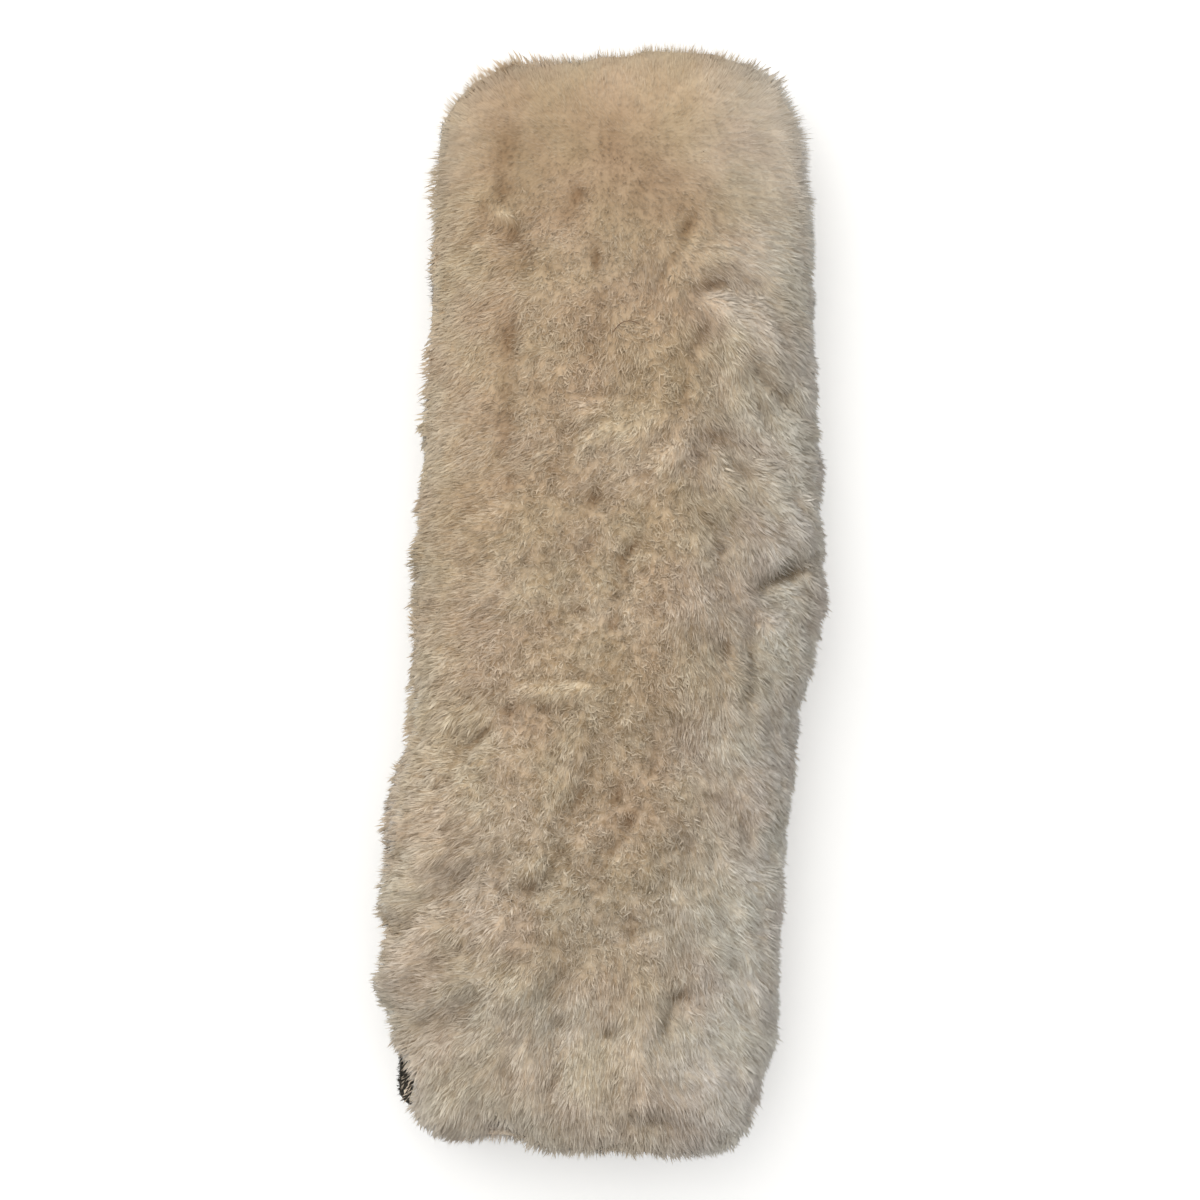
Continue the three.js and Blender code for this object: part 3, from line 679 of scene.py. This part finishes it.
def paleness(places):
    """How light the wool is at places in mm, about 0.66 in the middle: rims are lighter, and most locks have a
    painted highlight.
    """
    seen = as_seen(places)
    x, y = seen.T
    rim = 0.1 * np.clip((np.abs(x - 2) - 24) / 22, 0, 1)
    ends = 0.08 * np.clip((np.abs(y) - 100) / 30, 0, 1)
    light = np.zeros(len(places))
    # Locks are painted paler, a painted highlight, on the side that faces up.
    for *shape, pale in LOCKS:
        light += 1.3 * pale * near_places(seen, *shape)
    for *shape, pale in PALE_PARTS:
        light += pale * near_places(seen, *shape, 0)
    light *= on_upper_side(places)
    return 0.66 + rim + ends + light + 0.06 * soft_noise(places, 24, 4) + 0.045 * soft_noise(places, 9, 5)


def frizz(places):
    """How much the fibres' crimp shows at places in mm, as painted shade in the curls, from 0 to 1: little at
    the soft upper end.
    """
    x, y = as_seen(places).T
    along = np.interp(y, [-125, -95, -70, -20, 10, 60, 95, 120], [0.6, 0.75, 0.95, 0.95, 0.8, 0.55, 0.3, 0.2])
    along *= 1 - 0.3 * np.clip((np.abs(x) - 15) / 25, 0, 1)
    return along + (0.75 - along) * np.clip((20 - places[:, 2]) / 8, 0, 1)


def combed(places, up):
    """The way in which the fibres are combed at places in mm, along the surface, and how firmly they lie."""
    way = flow(places)
    y, z = places[:, 1], places[:, 2]
    standing = np.clip((y - 84) / 30, 0, 0.8) + np.clip((-118 - y) / 16, 0, 0.3)
    firmness = np.clip(np.linalg.norm(way, axis=1) - standing, 0.1, 1)
    droop = np.interp(z, [2, 8, 15, 19.5, 23.5, 30], [0.3, 0.25, 0.5, 0.8, -0.9, -0.4])
    droop *= np.sqrt(np.clip(1 - up[:, 2] ** 2, 0, 1))
    way = np.concatenate([way, droop[:, None]], 1)
    way -= up * (way * up).sum(1, keepdims=True)
    return rows_normalised(way), firmness


def add_value(mesh, name, values):
    mesh.attributes.new(name, "FLOAT", "POINT").data.foreach_set("value", np.asarray(values, np.float32))


def two_colours(tree, factor, dark, pale):
    mixed = tree.nodes.new("ShaderNodeMix")
    mixed.data_type = "RGBA"
    mixed.inputs["A"].default_value = (*dark, 1)
    mixed.inputs["B"].default_value = (*pale, 1)
    tree.links.new(factor, mixed.inputs["Factor"])
    return mixed.outputs["Result"]


def multiplied(tree, first, second):
    product = tree.nodes.new("ShaderNodeMix")
    product.data_type = "RGBA"
    product.blend_type = "MULTIPLY"
    product.inputs["Factor"].default_value = 1
    tree.links.new(first, product.inputs["A"])
    tree.links.new(second, product.inputs["B"])
    return product.outputs["Result"]


# Wool's colour, from four values on the surface: tone, chalk, how far along the fibre it is from root to tip,
# with painted shade at the roots, and crimp, which paints small shade in the curls. The fleece is a little
# pinker in some places than in others.
wool_colour = bpy.data.node_groups.new("wool_colour", "ShaderNodeTree")
for name in ("Tone", "Chalk", "Along", "Crimp"):
    socket = wool_colour.interface.new_socket(name=name, in_out="INPUT", socket_type="NodeSocketFloat")
    socket.min_value, socket.max_value = 0, 1
wool_colour.interface.new_socket(name="Color", in_out="OUTPUT", socket_type="NodeSocketColor")
nodes, links = wool_colour.nodes, wool_colour.links
given, result = nodes.new("NodeGroupInput"), nodes.new("NodeGroupOutput")
warm = two_colours(wool_colour, given.outputs["Tone"], (0.4, 0.27, 0.16), (0.97, 0.82, 0.62))
grey = two_colours(wool_colour, given.outputs["Tone"], (0.39, 0.315, 0.235), (0.965, 0.925, 0.855))
blend = nodes.new("ShaderNodeMix")
blend.data_type = "RGBA"
links.new(given.outputs["Chalk"], blend.inputs["Factor"])
links.new(warm, blend.inputs["A"])
links.new(grey, blend.inputs["B"])
place = nodes.new("ShaderNodeTexCoord")
blush = nodes.new("ShaderNodeTexNoise")
blush.inputs["Scale"].default_value = 60
links.new(place.outputs["Object"], blush.inputs["Vector"])
blush_range = nodes.new("ShaderNodeMapRange")
blush_range.inputs["From Min"].default_value = 0.35
blush_range.inputs["From Max"].default_value = 0.65
links.new(blush.outputs["Fac"], blush_range.inputs["Value"])
hue = two_colours(wool_colour, blush_range.outputs["Result"], (0.985, 1.0, 0.975), (1.0, 0.98, 0.98))
crimp = nodes.new("ShaderNodeTexNoise")
crimp.inputs["Scale"].default_value = 420
crimp.inputs["Detail"].default_value = 3
crimp.inputs["Roughness"].default_value = 0.75
links.new(place.outputs["Object"], crimp.inputs["Vector"])
crimp_range = nodes.new("ShaderNodeMapRange")
crimp_range.inputs["From Min"].default_value = 0.36
crimp_range.inputs["From Max"].default_value = 0.56
links.new(crimp.outputs["Fac"], crimp_range.inputs["Value"])
# Darker where the noise is low: painted shade in the crimped curls.
crimp_shade = two_colours(wool_colour, crimp_range.outputs["Result"], (0.64, 0.59, 0.52), (1.0, 1.0, 1.0))
crimp_share = nodes.new("ShaderNodeMix")
crimp_share.data_type = "RGBA"
crimp_share.inputs["A"].default_value = (1, 1, 1, 1)
links.new(given.outputs["Crimp"], crimp_share.inputs["Factor"])
links.new(crimp_shade, crimp_share.inputs["B"])
# Darker towards the roots: painted shade deep in the pile.
root_shade = two_colours(wool_colour, given.outputs["Along"], (0.9, 0.865, 0.82), (1.0, 1.0, 1.0))
shaded = multiplied(wool_colour, multiplied(wool_colour, blend.outputs["Result"], root_shade), hue)
links.new(multiplied(wool_colour, shaded, crimp_share.outputs["Result"]), result.inputs["Color"])


def wool_material(name, roughness, sheen):
    """A wool finish that reads its piece's own tone, chalk, along and crimp values."""
    material = bpy.data.materials.new(name)
    material.use_nodes = True
    nodes, links = material.node_tree.nodes, material.node_tree.links
    shader = nodes["Principled BSDF"]
    shader.inputs["Roughness"].default_value = roughness
    shader.inputs["Specular IOR Level"].default_value = 0.2
    shader.inputs["Sheen Weight"].default_value = sheen
    shader.inputs["Sheen Roughness"].default_value = 0.5
    colour = nodes.new("ShaderNodeGroup")
    colour.name = "wool_colour"
    colour.node_tree = wool_colour
    for value in ("tone", "chalk", "along", "crimp"):
        read = nodes.new("ShaderNodeAttribute")
        read.attribute_name = value
        links.new(read.outputs["Fac"], colour.inputs[value.capitalize()])
    links.new(colour.outputs["Color"], shader.inputs["Base Color"])
    return material


# The undercoat's own surface is combed too: fine streaks that follow the fibres.
undercoat_wool = wool_material("wool_undercoat", 0.9, 0.1)
tree = undercoat_wool.node_tree
place = tree.nodes.new("ShaderNodeTexCoord")
across_fibres = tree.nodes.new("ShaderNodeAttribute")
across_fibres.attribute_name = "across_fibres"
streaks = tree.nodes.new("ShaderNodeTexGabor")
streaks.inputs["Scale"].default_value = 560
streaks.inputs["Frequency"].default_value = 2.2
streaks.inputs["Anisotropy"].default_value = 0.85
tree.links.new(place.outputs["Object"], streaks.inputs["Vector"])
tree.links.new(across_fibres.outputs["Fac"], streaks.inputs[4])
streak_shade = two_colours(tree, streaks.outputs["Value"], (0.78, 0.74, 0.69), (1.0, 1.0, 1.0))
combed_wool = multiplied(tree, tree.nodes["wool_colour"].outputs["Color"], streak_shade)
tree.links.new(combed_wool, tree.nodes["Principled BSDF"].inputs["Base Color"])
undercoat_mesh.materials.clear()
undercoat_mesh.materials.append(undercoat_wool)

places = np.empty(len(undercoat_mesh.vertices) * 3, np.float32)
undercoat_mesh.vertices.foreach_get("co", places)
places = places.reshape(-1, 3).astype(float) / MM
normals = np.empty(len(undercoat_mesh.vertices) * 3, np.float32)
undercoat_mesh.vertices.foreach_get("normal", normals)
normals = normals.reshape(-1, 3).astype(float)
# The undercoat is painted a little darker than the tips, as the shade under them, and takes the partings'
# painted shade and the ridges' painted light and shade.
tone = paleness(places) - 0.05 - 0.6 * parting_depth(places) + RIDGE_PAINTED_SHADING * ridges
add_value(undercoat_mesh, "tone", np.clip(tone, 0, 1))
add_value(undercoat_mesh, "chalk", chalkiness(places))
# The undercoat lies deep, so it takes most of the roots' painted shade.
add_value(undercoat_mesh, "along", np.full(len(places), 0.2))
add_value(undercoat_mesh, "crimp", frizz(places))
lie = combed(places, normals)[0]
add_value(undercoat_mesh, "across_fibres", np.mod(np.arctan2(lie[:, 1], lie[:, 0]) + math.pi / 2, math.pi))
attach(undercoat, "root")
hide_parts("sheepskin")


# The wool's tips: short crimped fibres that stand out of the undercoat, comb outwards and down the pad, and
# hold together in tufts and locks. Each is a sliver as the tapes' loops are.
FIBRE_WIDTH = 0.12  # mm, at the bend
FIBRE_LENGTH = 4.4  # mm, from its root inside the undercoat
SIDE_FIBRE_LENGTH = 3.2
UPPER_RIM_FIBRE_LENGTH = 2.6
LOWER_LEAF_FIBRE_LENGTH = 3.6
ROOT_DEPTH = 0.8  # mm
LOCK_SIZE = 7.0  # mm
TUFT_SIZE = 2.4  # mm
SOFTNESS = 0.2  # how far a fibre's own roundness shows in the light
FLOOR_ZONE = 7.0  # mm, over which the tips turn away from the floor
FIBRE_SEED = 23
chance = np.random.default_rng(FIBRE_SEED)


def by_groups(places, size, seed):
    """Gathers places in mm into wandering groups of a size: each one's group and middle, and the count."""
    shifted = places + 0.45 * size * np.stack([soft_noise(places, size * 2.2, seed + k) for k in range(3)], 1)
    cells = np.floor(shifted / size).astype(np.int64)
    _, group = np.unique(cells @ np.array([1, 4096, 4096**2]), return_inverse=True)
    group = group.ravel()
    counts = np.bincount(group)
    middle = np.stack([np.bincount(group, places[:, k]) / counts for k in range(3)], 1)
    return group, middle[group], len(counts)


# The undercoat's faces, of which each fibre takes one for its root.
undercoat_mesh.calc_loop_triangles()
corners = np.empty(len(undercoat_mesh.loop_triangles) * 3, np.int32)
undercoat_mesh.loop_triangles.foreach_get("vertices", corners)
corners = corners.reshape(-1, 3)
middles = places[corners].mean(1)
sides = np.cross(places[corners[:, 1]] - places[corners[:, 0]], places[corners[:, 2]] - places[corners[:, 0]])
areas = np.linalg.norm(sides, axis=1) / 2
facing = normals[corners].mean(1)
free = ~hidden_by_hide(middles, facing)


def grow_fibres(name, chosen, count, length, lean, wild, rim=0):
    """Grows count fibres from the undercoat's chosen faces, as one piece: at the rim finer, with paler tips."""
    share = areas * chosen
    pick = chance.choice(len(share), count, p=share / share.sum())
    a, b = chance.random((2, count, 1))
    b = b * (1 - a)
    tri = corners[pick]
    weights = np.stack([1 - a - b, a, b], 1)
    root = (places[tri] * weights).sum(1)
    ridge = (ridges[tri] * weights[..., 0]).sum(1)
    up = rows_normalised((normals[tri] * weights).sum(1))
    way, firmness = combed(root, up)
    mat = matted(root)[:, None]
    deep = parting_depth(root)

    lock, lock_middle, locks = by_groups(root, LOCK_SIZE, 31)
    tuft, tuft_middle, tufts = by_groups(root, TUFT_SIZE, 41)
    loose = (1 - 0.65 * calm(root)[:, None]) * (1 - 0.65 * rim)
    way = way + 0.16 * loose * chance.normal(size=(locks, 3))[lock]
    way += (0.14 * loose + 0.36 * mat) * chance.normal(size=(tufts, 3))[tuft]
    way_of_root = way + 0.4 * chance.normal(size=(count, 3))
    way += (wild + 0.7 * mat) * chance.normal(size=(count, 3))
    way = rows_normalised(way - up * (way * up).sum(1, keepdims=True))

    leaning = lean * (0.2 + 0.8 * firmness) - 0.12 * mat[:, 0] + 0.08 * chance.normal(size=count)
    at_cut_edge = beside_hide_rim(root)
    leaning = np.clip(leaning + 0.3 * at_cut_edge, 0.2, 0.92)[:, None]
    start = up + 0.35 * way_of_root
    end = up * (1 - leaning) + way * leaning
    near_floor = root[:, 2] < FLOOR_ZONE
    start[near_floor, 2] = np.maximum(start[near_floor, 2], 0.05)
    end[near_floor, 2] = np.maximum(end[near_floor, 2], 0.15)
    start, end = rows_normalised(start), rows_normalised(end)
    size = length * chance.uniform(0.65, 1.25, count) * (1 - 0.22 * mat[:, 0])
    size = size * (1 - 0.35 * np.clip(deep, 0, 1))
    size = (size * (1 - 0.25 * calm(root)) * (1 + 0.2 * at_cut_edge))[:, None]
    width = 0.5 * FIBRE_WIDTH * chance.uniform(0.7, 1.25, (count, 1)) * (1 - 0.3 * calm(root))[:, None]
    width *= 1 - 0.3 * rim
    base = root - up * ROOT_DEPTH

    pull = (tuft_middle - root) * 0.24 * loose + (lock_middle - root) * 0.03 * (1 - rim)
    mesh, points = bent_slivers(name, base, start, end, size, width, pull, up, SOFTNESS)

    each = len(sliver_points)
    speckle = chance.normal(size=count)
    crimp = frizz(root)
    tone = 0.03 * chance.normal(size=locks)[lock] + 0.035 * chance.normal(size=tufts)[tuft]
    # Ridges are painted paler and furrows darker: painted light and shade of the relief.
    tone = tone * loose[:, 0] + RIDGE_PAINTED_SHADING * ridge
    tone = np.repeat(tone + (0.03 + 0.05 * crimp) * speckle, each) + paleness(points)
    # Partings get painted shade, more on some fibres than on others.
    parting_shade_share = np.repeat(np.clip(1 + 0.5 * chance.normal(size=count), 0.2, 2), each)
    tone -= 0.65 * parting_depth(points) * parting_shade_share
    along = np.tile(sliver_points[:, 2], count)
    add_value(mesh, "tone", np.clip(tone + 0.4 * rim * along, 0, 1))
    add_value(mesh, "chalk", np.clip(chalkiness(points) + 0.55 * rim * along, 0, 1))
    add_value(mesh, "along", along)
    add_value(mesh, "crimp", np.repeat(crimp, each))
    mesh.materials.append(fibre_wool)
    piece = bpy.data.objects.new(name, mesh)
    stage_collection.objects.link(piece)
    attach(piece, "root")
    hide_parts("sheepskin")


fibre_wool = wool_material("wool_tips", 0.8, 0.15)
on_top = free & (facing[:, 2] > 0.35)
pressed = free & (facing[:, 2] < -0.8) & (middles[:, 2] < 3.2)
at_ends = free & ~on_top & ~pressed & (np.abs(facing[:, 1]) > 0.55)
below_rim = free & ~on_top & ~pressed & ~at_ends & (facing[:, 2] < -0.45)
beside = free & ~on_top & ~pressed & ~at_ends & ~below_rim
upper_third = middles[:, 1] > 42
lower_third = middles[:, 1] < -45
grow_fibres("wool_upper_end", on_top & upper_third, 39000, FIBRE_LENGTH, 0.8, 0.14)
grow_fibres("wool_upper_middle", on_top & ~upper_third & ~lower_third, 39000, FIBRE_LENGTH, 0.8, 0.14)
grow_fibres("wool_lower_end", on_top & lower_third, 39000, FIBRE_LENGTH, 0.8, 0.14)
grow_fibres("wool_fold_side", beside & (middles[:, 0] > 0), 20000, SIDE_FIBRE_LENGTH, 0.66, 0.4, rim=1)
grow_fibres("wool_open_edge", beside & (middles[:, 0] <= 0), 7500, SIDE_FIBRE_LENGTH, 0.62, 0.4, rim=1)
grow_fibres("wool_upper_rim", at_ends & (middles[:, 1] > 0), 7500, UPPER_RIM_FIBRE_LENGTH, 0.5, 0.45, rim=1)
grow_fibres("wool_lower_rim", at_ends & (middles[:, 1] < 0), 8500, SIDE_FIBRE_LENGTH, 0.5, 0.45, rim=1)
grow_fibres("wool_below_rim", below_rim, 38000, LOWER_LEAF_FIBRE_LENGTH, 0.75, 0.4, rim=0.6)
grow_fibres("wool_underside", pressed, 15000, FIBRE_LENGTH, 0.8, 0.4)


# Stray fibres: a few of the wool's lie loose over the tapes' corner, where the upper leaf is cut short.
# They are slivers like the rest, and a little darker.
STRAYS = 60
STRAY_HALF_WIDTH = 0.05  # mm
STRAY_ZONE = ((-45.5, -42), (-129, -112), (23.6, 24.2))  # mm across, along and up
base = np.stack([chance.uniform(*ends, STRAYS) for ends in STRAY_ZONE], 1)
start = rows_normalised(np.array([-0.75, -0.6, 0.25]) + 0.25 * chance.normal(size=(STRAYS, 3)))
end = rows_normalised(np.array([-0.5, -0.8, 0.05]) + 0.35 * chance.normal(size=(STRAYS, 3)))
size = chance.uniform(1.4, 3.0, (STRAYS, 1))
upwards = np.tile([0.0, 0.0, 1.0], (STRAYS, 1))
pull = 0 * base
mesh, points = bent_slivers("wool_strays", base, start, end, size, STRAY_HALF_WIDTH, pull, upwards, SOFTNESS)
add_value(mesh, "tone", np.clip(paleness(points) - 0.2, 0, 1))
add_value(mesh, "chalk", chalkiness(points))
add_value(mesh, "along", np.tile(sliver_points[:, 2], STRAYS))
add_value(mesh, "crimp", np.full(len(points), 0.3))
mesh.materials.append(fibre_wool)
strays = bpy.data.objects.new("wool_strays", mesh)
stage_collection.objects.link(strays)
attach(strays, "root")


# A stray hair, darker than the wool, that lies on the fleece near its upper end: one round strand on a curve.
# Its places are in mm across and along the pad, as the camera sees them.
HAIR_PLACES = [(-1.6, 67.2), (-0.6, 69.0), (1.2, 70.4), (3.2, 70.3), (5.0, 69.6)]
HAIR_RADIUS = 0.1 * MM
HAIR_LIFT = 1.6  # mm over the undercoat
hair_curve = bpy.data.curves.new("stray_hair", "CURVE")
hair_curve.dimensions = "3D"
hair_curve.bevel_depth = HAIR_RADIUS
hair_curve.bevel_resolution = 1
hair_curve.resolution_u = 4
hair_curve.use_fill_caps = True
strand = hair_curve.splines.new("NURBS")
strand.points.add(len(HAIR_PLACES) - 1)
strand.use_endpoint_u = True
strand.order_u = 4
undercoat_seen = as_seen(places)
for point, (x, y) in zip(strand.points, HAIR_PLACES):
    above = np.where(places[:, 2] > 30, np.hypot(undercoat_seen[:, 0] - x, undercoat_seen[:, 1] - y), 1e9)
    under = places[above.argmin()]
    point.co = (*(under[:2] + (x, y) - undercoat_seen[above.argmin()]) * MM, (under[2] + HAIR_LIFT) * MM, 1)
hair = bpy.data.objects.new("stray_hair", hair_curve)
hair_mesh = bpy.data.meshes.new_from_object(hair)
bpy.data.objects.remove(hair)
brown_hair = bpy.data.materials.new("brown_hair")
brown_hair.use_nodes = True
nodes, links = brown_hair.node_tree.nodes, brown_hair.node_tree.links
shader = nodes["Principled BSDF"]
shader.inputs["Roughness"].default_value = 0.5
place = nodes.new("ShaderNodeTexCoord")
streak = nodes.new("ShaderNodeTexNoise")
streak.inputs["Scale"].default_value = 700
links.new(place.outputs["Object"], streak.inputs["Vector"])
browns = two_colours(brown_hair.node_tree, streak.outputs["Fac"], (0.1, 0.05, 0.025), (0.22, 0.12, 0.06))
links.new(browns, shader.inputs["Base Color"])
hair_mesh.materials.clear()
hair_mesh.materials.append(brown_hair)
hair = bpy.data.objects.new("stray_hair", hair_mesh)
stage_collection.objects.link(hair)
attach(hair, "root")
